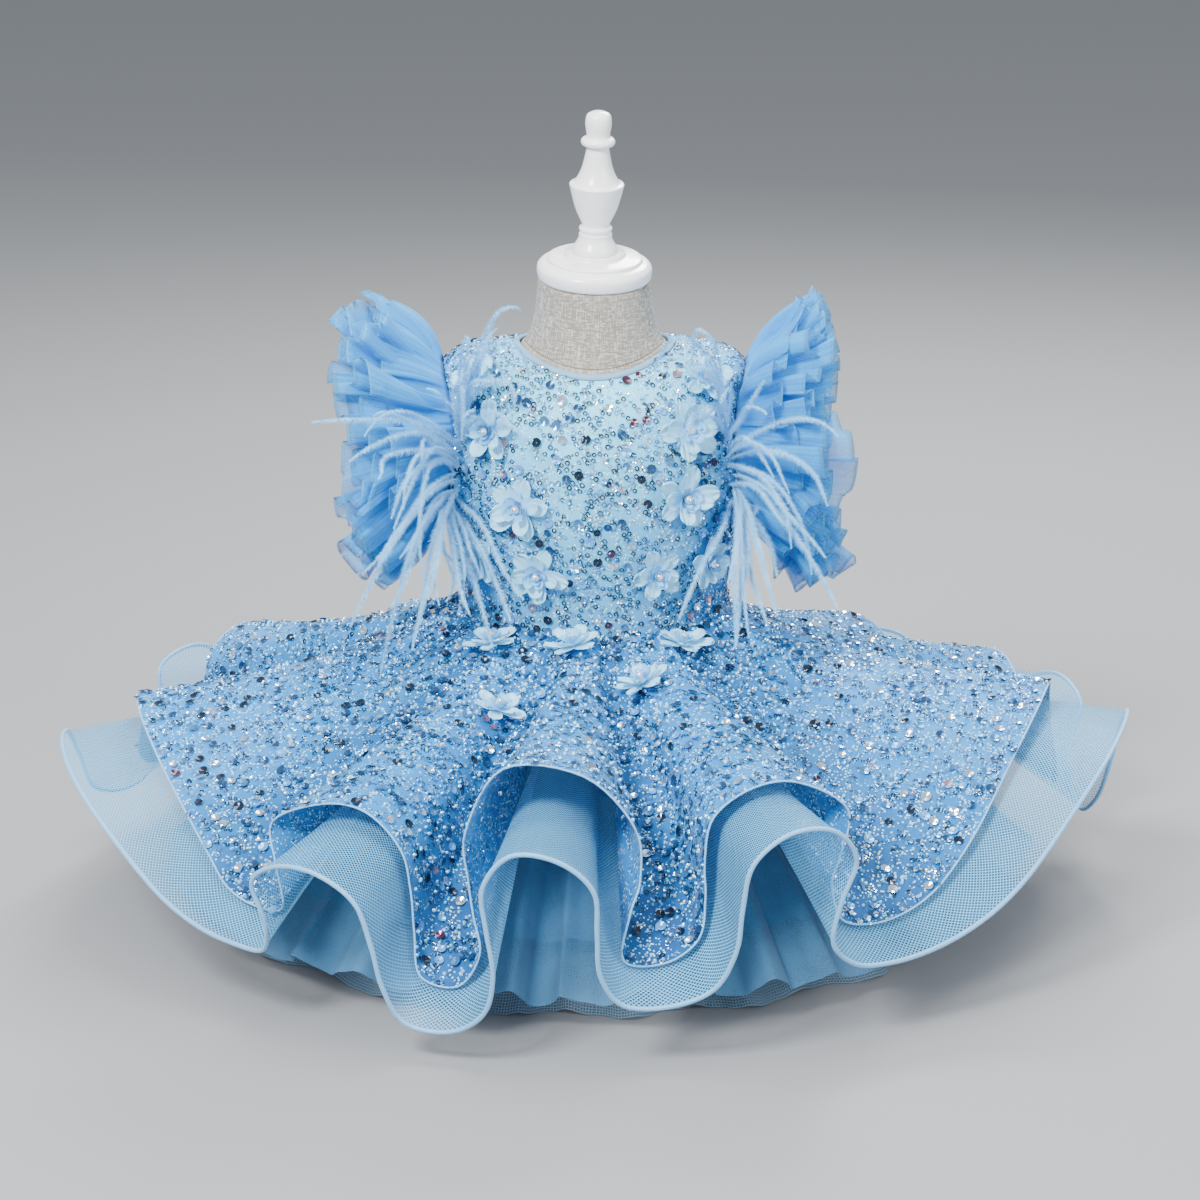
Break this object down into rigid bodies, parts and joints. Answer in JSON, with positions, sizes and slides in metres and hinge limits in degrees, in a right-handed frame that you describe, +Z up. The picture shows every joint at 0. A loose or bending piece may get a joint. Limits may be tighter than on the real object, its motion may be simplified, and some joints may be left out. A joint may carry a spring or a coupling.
{
  "type": "feather dress on a limbless dress form",
  "caption": "Sleeveless child's party dress with feathered armholes, pleated tulle ruffles, fabric flowers and a fluted layered skirt, worn on a limbless linen dress form.",
  "frame": {"origin": "centre of the dress form's flat base, on the floor", "axes": "+Z up along the form, -Y towards the front of the dress, +X to the viewer's right"},
  "size_m": [0.7496, 0.7728, 0.5541],
  "materials": {
    "linen": "plain weave linen cover",
    "white_paint": "glossy white painted wood",
    "sequined_net": "net covered with ring sequins, flat sequins and pearls",
    "binding": "folded net binding",
    "sky_tulle": "matte tulle",
    "horsehair_braid": "open diagonal nylon braid",
    "satin": "smooth satin",
    "stiff_net": "stiff petticoat net",
    "chiffon": "layered chiffon petals with a pearl",
    "ostrich": "soft feather strands"
  },
  "bodies": {
    "root": {"form_torso": "linen", "neck_cap": "white_paint", "finial": "white_paint", "bodice_front": "sequined_net", "bodice_back_left": "sequined_net", "bodice_back_right": "sequined_net", "neck_binding": "binding", "overskirt": "sequined_net", "skirt_under": "sky_tulle", "horsehair_band": "horsehair_braid", "hem_cord": "horsehair_braid", "petticoat_tulle": "sky_tulle", "skirt_lining": "satin", "petticoat_net": "stiff_net", "ruffle_left_outer": "sky_tulle", "ruffle_left_inner": "sky_tulle", "ruffle_right_outer": "sky_tulle", "ruffle_right_inner": "sky_tulle", "feathers_left": "ostrich", "feathers_right": "ostrich", "flower_01": "chiffon", "flower_02": "chiffon", "flower_03": "chiffon", "flower_04": "chiffon", "flower_05": "chiffon", "flower_06": "chiffon", "flower_07": "chiffon", "flower_08": "chiffon", "flower_09": "chiffon", "flower_10": "chiffon", "flower_11": "chiffon", "flower_12": "chiffon", "flower_13": "chiffon", "flower_14": "chiffon", "flower_15": "chiffon"}
  },
  "joints": []
}
